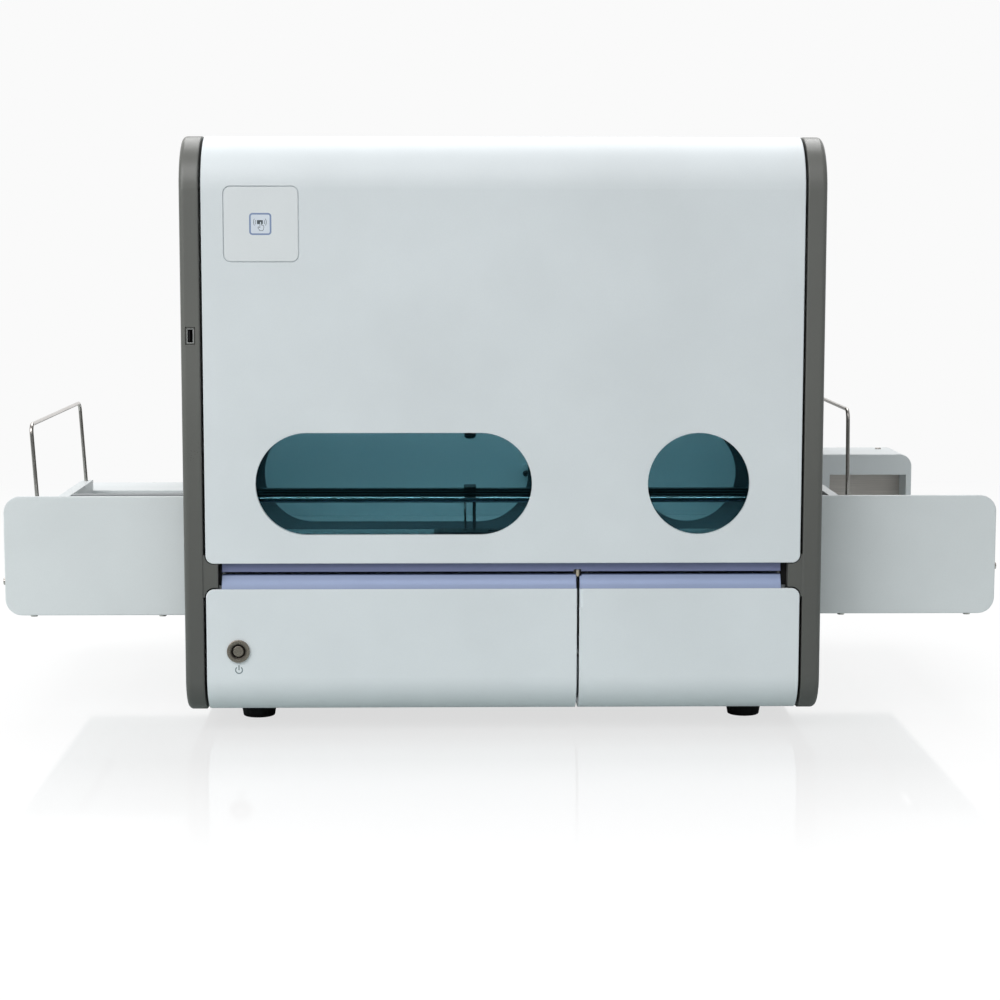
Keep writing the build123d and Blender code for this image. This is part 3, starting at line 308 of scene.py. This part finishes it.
def turned_metal(name, shade_full_to, shade_gone_at):
    """Turned steel: fine rings about the switch's axis, with painted shade darkening it where the bore
    begins.
    """
    m = Mat(name)
    m.set(Metallic=1.0)
    r = m.radius(-0.2497, 0.0815)
    rings = m.math("SINE", m.math("MULTIPLY", r, 2 * math.pi / 0.00028))
    smudge = m.noise(160.0, 3.0, 0.6)
    tone = m.mix(m.ramp(rings, -1, 1), (0.27, 0.235, 0.20, 1), (0.40, 0.355, 0.30, 1))
    tone = m.mix(m.ramp(smudge, 0.4, 0.8, 0.0, 0.35), tone, (0.12, 0.10, 0.085, 1))
    # painted shade: near-black colour in the recess around the button, fading out with the radius
    if shade_full_to:
        tone = m.mix(m.ramp(r, shade_full_to, shade_gone_at), (0.022, 0.018, 0.016, 1), tone)
    m.color(m.mix(m.math("MULTIPLY", m.edges(0.0004), 0.5), tone, (0.70, 0.66, 0.60, 1)))
    m.rough(m.ramp(smudge, 0.3, 0.8, 0.22, 0.38))
    m.bump(rings, 0.08, 0.00005)
    return m


M["switch_metal"] = turned_metal("switch_steel", 0.0, 0.0)
# the bezel carries painted shade between radius 6.0 and 8.6 mm
M["switch_bezel"] = turned_metal("switch_bezel_steel", 0.0060, 0.0086)


def usb_skin(m, tone):
    """Dark moulded surround, a thin bright shell lip, and painted shade that makes it black inside the
    mouth.
    """
    lip = m.math("MULTIPLY", m.near("X", -0.2908, 0.0031), m.near("Z", 0.3779, 0.0067))
    tone = m.mix(lip, tone, (0.46, 0.47, 0.46, 1))
    # painted shade: near black deep inside the socket mouth
    mouth_shade = m.ramp(m.axis("Y"), YF + 0.0006, YF + 0.0009)
    return m.mix(m.math("MULTIPLY", mouth_shade, lip), tone, (0.006, 0.006, 0.007, 1))


M["usb_shell"] = plastic("service_socket_skin", (0.085, 0.087, 0.080, 1), 0.38, 0.08, 0.5, 0.2,
                         paint=usb_skin)
M["zinc_steel"] = metal("zinc_plate", (0.58, 0.58, 0.56, 1), 0.38, (1, 60, 60), 12, 0.08)
M["circuit_board"] = plastic("board_lacquer", (0.02, 0.14, 0.06, 1), 0.3, 0.05, 0.4, 0.0)


def pane_material():
    """Teal tinted clear sheet: lets tinted light through and mirrors a little."""
    m = Mat("window_tint")
    nt = m.nt
    clear = m.node("ShaderNodeBsdfTransparent")
    clear.inputs["Color"].default_value = (0.285, 0.435, 0.470, 1)
    m.set(Roughness=0.04, IOR=1.5)
    m.bsdf.inputs["Base Color"].default_value = (0.01, 0.05, 0.06, 1)
    haze = m.noise(30.0, 4.0, 0.6)
    m.rough(m.ramp(haze, 0.35, 0.75, 0.02, 0.07))
    fres = m.node("ShaderNodeFresnel")
    fres.inputs["IOR"].default_value = 1.45
    mixer = m.node("ShaderNodeMixShader")
    m.link(m.ramp(fres.outputs[0], 0.0, 1.0, 0.03, 1.0), mixer.inputs[0])
    m.link(clear.outputs[0], mixer.inputs[1])
    m.link(m.bsdf.outputs[0], mixer.inputs[2])
    m.link(mixer.outputs[0], m.out.inputs["Surface"])
    return m


M["tinted_pane"] = pane_material()

SPECIAL = {"rail_beam": "rail_black", "inner_partition": "partition", "deck_plate": "bay_deck",
           "guide_rod": "rod_steel", "power_switch_bezel": "switch_bezel", "usb_socket": "usb_shell"}
for part in frame["record"]["subparts"]:
    name, key = part["node"], part["material_slot"]
    o = NODES[name]
    mat = M[SPECIAL.get(name, key)].m
    if not o.data.materials:
        o.data.materials.append(mat)
    for i in range(len(o.material_slots)):
        o.material_slots[i].material = mat


# ---------------------------------------------------------------------------
# Added pieces: prints, screws, connectors
# ---------------------------------------------------------------------------

M["print_blue"] = plastic("print_ink_blue", (*lin(138, 156, 190)[:3], 1), 0.45, 0.03, 0.3, 0.0)
M["print_pale"] = plastic("print_ink_pale", (*lin(226, 234, 244)[:3], 1), 0.42, 0.03, 0.3, 0.0)
M["print_dark"] = plastic("print_ink_dark", (*lin(88, 97, 103)[:3], 1), 0.45, 0.03, 0.3, 0.0)
M["print_grey"] = plastic("print_ink_grey", (*lin(128, 141, 145)[:3], 1), 0.45, 0.03, 0.3, 0.0)
M["screw_steel"] = metal("screw_zinc", (0.58, 0.57, 0.54, 1), 0.30, (60, 60, 1), 60, 0.04, wear=0.4)
M["contact_gold"] = metal("contact_gold", (0.83, 0.62, 0.25, 1), 0.25, (1, 1, 90), 60, 0.02, wear=0.0)


def piece(name, bm, mat, body, smooth=40):
    """Mesh object from a bmesh, riding on a body."""
    bmesh.ops.recalc_face_normals(bm, faces=bm.faces)
    me = bpy.data.meshes.new(name)
    bm.to_mesh(me)
    bm.free()
    me.materials.append(M[mat].m)
    o = bpy.data.objects.new(name, me)
    bpy.context.scene.collection.objects.link(o)
    if smooth:
        for f in me.polygons:
            f.use_smooth = True
        me.set_sharp_from_angle(angle=math.radians(smooth))
    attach(o, body)
    return o


def slab(bm, outline, y0, y1):
    """Closed plate with an outline in X and Z, millimetres, between two depths."""
    a = [bm.verts.new(P(x, y0, z)) for x, z in outline]
    b = [bm.verts.new(P(x, y1, z)) for x, z in outline]
    bm.faces.new(a)
    bm.faces.new(b[::-1])
    n = len(outline)
    for i in range(n):
        bm.faces.new((a[i], a[(i + 1) % n], b[(i + 1) % n], b[i]))


def stroke(bm, pts, width, y0, y1, closed=False):
    """Printed line of even width along points in X and Z."""
    n = len(pts)
    left, right = [], []
    for i, (x, z) in enumerate(pts):
        if closed:
            p0, p1 = pts[i - 1], pts[(i + 1) % n]
        else:
            p0, p1 = pts[max(i - 1, 0)], pts[min(i + 1, n - 1)]
        d1 = Vector((x - p0[0], z - p0[1]))
        d2 = Vector((p1[0] - x, p1[1] - z))
        d1 = d1.normalized() if d1.length > 1e-6 else d2.normalized()
        d2 = d2.normalized() if d2.length > 1e-6 else d1
        t = (d1 + d2).normalized()
        k = min(1.0 / max(t.dot(d1), 0.5), 1.6)
        nx, nz = -t.y * width / 2 * k, t.x * width / 2 * k
        left.append((x + nx, z + nz))
        right.append((x - nx, z - nz))
    rings = []
    for (lx, lz), (rx, rz) in zip(left, right):
        rings.append([bm.verts.new(P(lx, y0, lz)), bm.verts.new(P(rx, y0, rz)),
                      bm.verts.new(P(rx, y1, rz)), bm.verts.new(P(lx, y1, lz))])
    last = n if closed else n - 1
    for i in range(last):
        a, b = rings[i], rings[(i + 1) % n]
        for k in range(4):
            bm.faces.new((a[k], a[(k + 1) % 4], b[(k + 1) % 4], b[k]))
    if not closed:
        bm.faces.new(rings[0])
        bm.faces.new(rings[-1][::-1])


def arc(cx, cz, r, a0, a1, n=12):
    return [(cx + r * math.cos(math.radians(a0 + (a1 - a0) * i / n)),
             cz + r * math.sin(math.radians(a0 + (a1 - a0) * i / n))) for i in range(n + 1)]


def rounded(cx, cz, w, h, r, n=6):
    out = []
    for sx, sz, a in ((1, 1, 0), (-1, 1, 90), (-1, -1, 180), (1, -1, 270)):
        out += arc(cx + sx * (w / 2 - r), cz + sz * (h / 2 - r), r, a, a + 90, n)
    return out


INK0, INK1 = -0.05, 0.02        # how far a print stands on its face, millimetres

# tap-card pictogram on the reader pad
cx, cz = -224.8, 481.0
bm = bmesh.new()
slab(bm, rounded(cx, cz, 19.0, 18.8, 2.2), INK0 + 0.02, INK1)
piece("reader_icon_field", bm, "print_pale", "hood")
bm = bmesh.new()
stroke(bm, rounded(cx, cz, 18.9, 18.7, 2.3), 1.55, INK0, INK1, closed=True)
piece("reader_icon_frame", bm, "print_blue", "hood")
bm = bmesh.new()
slab(bm, rounded(cx - 0.3, cz + 1.7, 5.4, 3.7, 0.5), INK0, INK1)
for r, half in ((4.3, 27), (5.9, 31)):
    stroke(bm, arc(cx - 0.3, cz + 1.7, r, -half, half, 8), 0.42, INK0, INK1)
    stroke(bm, arc(cx - 0.3, cz + 1.7, r, 180 - half, 180 + half, 8), 0.42, INK0, INK1)
piece("reader_icon_card", bm, "print_dark", "hood")
hand = [(-0.7, 1.9), (0.0, 2.5), (0.7, 1.9), (0.7, -0.9), (2.2, -1.2), (3.1, -2.0), (3.1, -4.0),
        (2.2, -6.4), (-0.9, -6.4), (-2.6, -3.6), (-2.1, -2.7), (-0.7, -3.5)]
hand = [(cx + 0.3 + x * 0.95, cz + z * 0.95) for x, z in hand]
bm = bmesh.new()
slab(bm, hand, INK0 - 0.01, INK1)
piece("reader_icon_hand", bm, "print_pale", "hood")
bm = bmesh.new()
stroke(bm, hand, 0.42, INK0 - 0.03, INK1, closed=True)
piece("reader_icon_hand_line", bm, "print_dark", "hood")

# standby symbol under the push button
bm = bmesh.new()
stroke(bm, arc(-249.4, 63.5, 3.2, 90 + 37, 450 - 37, 40), 1.05, INK0, INK1)
stroke(bm, [(-249.4, 68.1), (-249.4, 63.3)], 1.05, INK0, INK1)
piece("standby_symbol", bm, "print_grey", "analyzer")


def lathe(bm, centre, direction, profile, n=28):
    """Turned shape: profile is (radius, height) in millimetres, height along direction."""
    d = Vector(direction).normalized()
    u = d.orthogonal().normalized()
    w = d.cross(u)
    c = P(*centre)
    rings = []
    for r, h in profile:
        if r < 1e-6:
            rings.append([bm.verts.new(c + d * h / 1000)])
            continue
        rings.append([bm.verts.new(c + d * h / 1000 + (u * math.cos(2 * math.pi * i / n)
                      + w * math.sin(2 * math.pi * i / n)) * r / 1000) for i in range(n)])
    for a, b in zip(rings, rings[1:]):
        for i in range(n):
            k = (i + 1) % n
            if len(a) == 1:
                bm.faces.new((a[0], b[i], b[k]))
            elif len(b) == 1:
                bm.faces.new((a[i], a[k], b[0]))
            else:
                bm.faces.new((a[i], a[k], b[k], b[i]))
    if len(rings[0]) > 1:
        bm.faces.new(rings[0][::-1])
    if len(rings[-1]) > 1:
        bm.faces.new(rings[-1])


def screw(name, centre, direction, r=3.4, h=1.6, mat="screw_steel", body="analyzer"):
    """Pan head with a round socket recess."""
    bm = bmesh.new()
    lathe(bm, centre, direction, [(r, 0), (r, h * 0.45), (r * 0.93, h * 0.75), (r * 0.75, h * 0.95),
                                  (r * 0.46, h), (r * 0.44, h * 0.93), (r * 0.42, h * 0.2),
                                  (0, h * 0.15)], 30)
    return piece(name, bm, mat, body, 35)


# black fillers at the ends of the recessed strip: dark pieces put there as painted shadow in the slots
for side, x0, x1 in (("left", -267.9, -265.4), ("right", 262.7, 267.9)):
    bm = bmesh.new()
    slab(bm, rounded((x0 + x1) / 2, 152.6, x1 - x0, 21.4, 0.8), 13.0, 17.0)
    piece("strip_shade_filler_" + side, bm, "rubber_foot", "analyzer")

# dark stud head on the wall behind the long window
screw("bay_stud_head", (27.4, 215.0, 226.9), (0, -1, 0), 3.0, 4.6, "black_plastic", "analyzer")
screw("bay_stud_head_upper", (-236.0, 211.0, 440.0), (0, -1, 0), 3.0, 1.4, "black_plastic",
      "analyzer")

# fixing screws of the rear panel
for i, (x, z) in enumerate(((-272, 40), (-272, 190), (-272, 350), (-272, 500), (272, 40), (272, 190),
                            (272, 350), (272, 500), (-90, 505), (90, 505), (-90, 36), (140, 36))):
    screw("rear_screw_%02d" % i, (x, 598.0, z), (0, 1, 0), 3.4, 1.7)
# screws of the fan and of the mains inlet
for i, (dx, dz) in enumerate(((-33, -33), (33, -33), (-33, 33), (33, 33))):
    screw("fan_screw_%d" % i, (180 + dx, 598.0, 350 + dz), (0, 1, 0), 3.0, 1.6)

# network jack in its bay
bm = bmesh.new()
x0, z0 = 60.0, 88.0
stroke(bm, rounded(x0, z0, 13.6, 11.4, 0.5), 1.6, 596.8, 598.4, closed=True)
slab(bm, rounded(x0, z0, 12.6, 10.4, 0.3), 596.5, 596.9)
piece("network_jack_shell", bm, "zinc_steel", "analyzer")
bm = bmesh.new()
slab(bm, [(x0 - 5.6, z0 - 4.2), (x0 + 5.6, z0 - 4.2), (x0 + 5.6, z0 + 2.4), (x0 + 2.6, z0 + 2.4),
          (x0 + 2.6, z0 + 4.4), (x0 - 2.6, z0 + 4.4), (x0 - 2.6, z0 + 2.4), (x0 - 5.6, z0 + 2.4)],
     596.8, 597.3)
piece("network_jack_mouth", bm, "black_plastic", "analyzer")
bm = bmesh.new()
for k in range(8):
    xx = x0 - 4.2 + 1.2 * k
    slab(bm, [(xx - 0.28, z0 - 3.9), (xx + 0.28, z0 - 3.9), (xx + 0.28, z0 - 0.6), (xx - 0.28, z0 - 0.6)],
         597.2, 597.6)
piece("network_jack_contacts", bm, "contact_gold", "analyzer")

# nine-pole connector in its bay
bm = bmesh.new()
x0 = 100.0
dee = [(x0 - 8.6, z0 + 3.8), (x0 + 8.6, z0 + 3.8), (x0 + 7.2, z0 - 3.8), (x0 - 7.2, z0 - 3.8)]
stroke(bm, dee, 1.0, 596.8, 599.8, closed=True)
slab(bm, rounded(x0, z0, 30.0, 11.4, 1.2), 596.5, 597.0)
piece("data_socket_shell", bm, "zinc_steel", "analyzer")
bm = bmesh.new()
slab(bm, [(x0 - 7.9, z0 + 3.2), (x0 + 7.9, z0 + 3.2), (x0 + 6.7, z0 - 3.2), (x0 - 6.7, z0 - 3.2)],
     596.9, 597.6)
piece("data_socket_insert", bm, "black_plastic", "analyzer")
bm = bmesh.new()
for k in range(5):
    lathe(bm, (x0 - 5.5 + 2.75 * k, 597.5, z0 + 1.4), (0, 1, 0), [(0.5, 0), (0.5, 2.0), (0.2, 2.3)], 10)
for k in range(4):
    lathe(bm, (x0 - 4.1 + 2.75 * k, 597.5, z0 - 1.4), (0, 1, 0), [(0.5, 0), (0.5, 2.0), (0.2, 2.3)], 10)
piece("data_socket_pins", bm, "contact_gold", "analyzer")
for i, xx in enumerate((x0 - 12.5, x0 + 12.5)):
    screw("data_socket_post_%d" % i, (xx, 597.0, z0), (0, 1, 0), 2.3, 2.7)


# ---------------------------------------------------------------------------
# Camera, floor, light
# ---------------------------------------------------------------------------

def add_camera():
    cam = bpy.data.cameras.new("camera")
    cam.sensor_width = 36.0
    cam.lens = 82.33
    cam.clip_start, cam.clip_end = 0.05, 100
    o = bpy.data.objects.new("camera", cam)
    bpy.context.scene.collection.objects.link(o)
    yaw, pitch, roll = math.radians(1.2246), math.radians(6.639), math.radians(-0.0565)
    rot = (Matrix.Rotation(-yaw, 4, "Z") @ Matrix.Rotation(math.pi / 2 - pitch, 4, "X")
           @ Matrix.Rotation(-roll, 4, "Z"))
    o.matrix_world = Matrix.Translation((-0.04898, -2.42635, 0.4722)) @ rot
    bpy.context.scene.camera = o
    return o


def add_floor():
    """A pale floor that turns up into the backdrop far behind."""
    me = bpy.data.meshes.new("floor")
    bm = bmesh.new()
    prof = [(-7.0, 0.0), (3.0, 0.0)]
    for i in range(1, 17):
        a = math.radians(90 * i / 16)
        prof.append((3.0 + 2.5 * math.sin(a), 2.5 - 2.5 * math.cos(a)))
    prof.append((5.5, 7.0))
    rows = []
    for y, z in prof:
        rows.append([bm.verts.new((x, y, z)) for x in (-9.0, 9.0)])
    for a, b in zip(rows, rows[1:]):
        f = bm.faces.new((a[0], a[1], b[1], b[0]))
        f.smooth = True
    bm.to_mesh(me)
    bm.free()
    o = bpy.data.objects.new("floor", me)
    bpy.context.scene.collection.objects.link(o)
    m = Mat("floor_paint")
    nt = m.nt
    m.set(Roughness=0.5)
    m.bsdf.inputs["Base Color"].default_value = (0.9, 0.9, 0.9, 1)
    glow = m.node("ShaderNodeEmission")
    glow.inputs["Color"].default_value = (1, 1, 1, 1)
    glow.inputs["Strength"].default_value = 1.05
    even = m.node("ShaderNodeEmission")
    even.inputs["Strength"].default_value = 0.956
    gloss = m.node("ShaderNodeBsdfGlossy")
    gloss.inputs["Roughness"].default_value = 0.06
    gloss.inputs["Color"].default_value = (1, 1, 1, 1)
    base = m.node("ShaderNodeMixShader")
    base.inputs[0].default_value = 0.80
    m.link(m.bsdf.outputs[0], base.inputs[1])
    m.link(glow.outputs[0], base.inputs[2])
    top = m.node("ShaderNodeMixShader")
    m.link(m.math("MULTIPLY", m.ramp(m.axis("Y"), -0.76, -0.40), 0.17), top.inputs[0])
    m.link(base.outputs[0], top.inputs[1])
    m.link(gloss.outputs[0], top.inputs[2])
    # the sweep looks white and throws back only a little light
    dim = m.node("ShaderNodeBsdfDiffuse")
    near = m.math("MULTIPLY", m.ramp(m.axis("Y"), -1.3, -0.4), m.ramp(m.axis("Y"), 0.9, 0.3))
    m.link(m.mix(near, (0.15, 0.16, 0.16, 1), (0.575, 0.63, 0.62, 1)), dim.inputs["Color"])
    path = m.node("ShaderNodeLightPath")
    pick = m.node("ShaderNodeMixShader")
    far = m.ramp(m.axis("Y"), 0.9, 2.6)
    away = m.node("ShaderNodeMixShader")
    m.link(m.ramp(m.axis("Y"), 0.5, 1.9), away.inputs[0])
    m.link(top.outputs[0], away.inputs[1])
    m.link(even.outputs[0], away.inputs[2])
    m.link(m.math("MAXIMUM", path.outputs["Is Camera Ray"], far), pick.inputs[0])
    m.link(dim.outputs[0], pick.inputs[1])
    m.link(away.outputs[0], pick.inputs[2])
    m.link(pick.outputs[0], m.out.inputs["Surface"])
    me.materials.append(m.m)
    return o


def add_area(name, loc, target, size, power, size_y=None, col=(1, 1, 1), camera=False, spread=180):
    li = bpy.data.lights.new(name, "AREA")
    li.energy = power
    li.color = col
    li.shape = "RECTANGLE"
    li.size = size
    li.size_y = size_y or size
    li.spread = math.radians(spread)
    o = bpy.data.objects.new(name, li)
    bpy.context.scene.collection.objects.link(o)
    o.location = loc
    o.rotation_euler = (Vector(target) - Vector(loc)).to_track_quat("-Z", "Y").to_euler()
    o.visible_camera = camera
    return o


def add_world():
    w = bpy.data.worlds.new("studio")
    bpy.context.scene.world = w
    w.use_nodes = True
    nt = w.node_tree
    nt.nodes.clear()
    out = nt.nodes.new("ShaderNodeOutputWorld")
    bg = nt.nodes.new("ShaderNodeBackground")
    bg.inputs["Color"].default_value = (0.97, 0.985, 1.0, 1)
    bg.inputs["Strength"].default_value = 0.42
    seen = nt.nodes.new("ShaderNodeBackground")
    seen.inputs["Color"].default_value = (1, 1, 1, 1)
    seen.inputs["Strength"].default_value = 0.955
    path = nt.nodes.new("ShaderNodeLightPath")
    mix = nt.nodes.new("ShaderNodeMixShader")
    nt.links.new(path.outputs["Is Camera Ray"], mix.inputs[0])
    nt.links.new(bg.outputs[0], mix.inputs[1])
    nt.links.new(seen.outputs[0], mix.inputs[2])
    nt.links.new(mix.outputs[0], out.inputs["Surface"])


add_camera()
add_floor()
add_world()
add_area("key", (-2.1, -2.1, 1.9), (0, 0.0, 0.3), 2.0, 38)
add_area("sheen", (-0.4, -2.6, 2.4), (0, 0.0, 0.35), 2.0, 26)
add_area("top", (0.0, 1.0, 2.5), (0, 0.1, 0.3), 2.2, 42)
add_area("bay_lamp", P(0, 118, 452), P(0, 205, 235), 0.53, 1.44, 0.02)
add_area("front_lamp", P(0, 34, 492), P(0, 84, 225), 0.52, 0.95, 0.02)
add_area("low_lamp", P(0, 12, 207), P(0, 104, 186), 0.52, 0.042, 0.01, spread=46)

sc = bpy.context.scene
sc.view_settings.view_transform = "Standard"
sc.view_settings.look = "None"
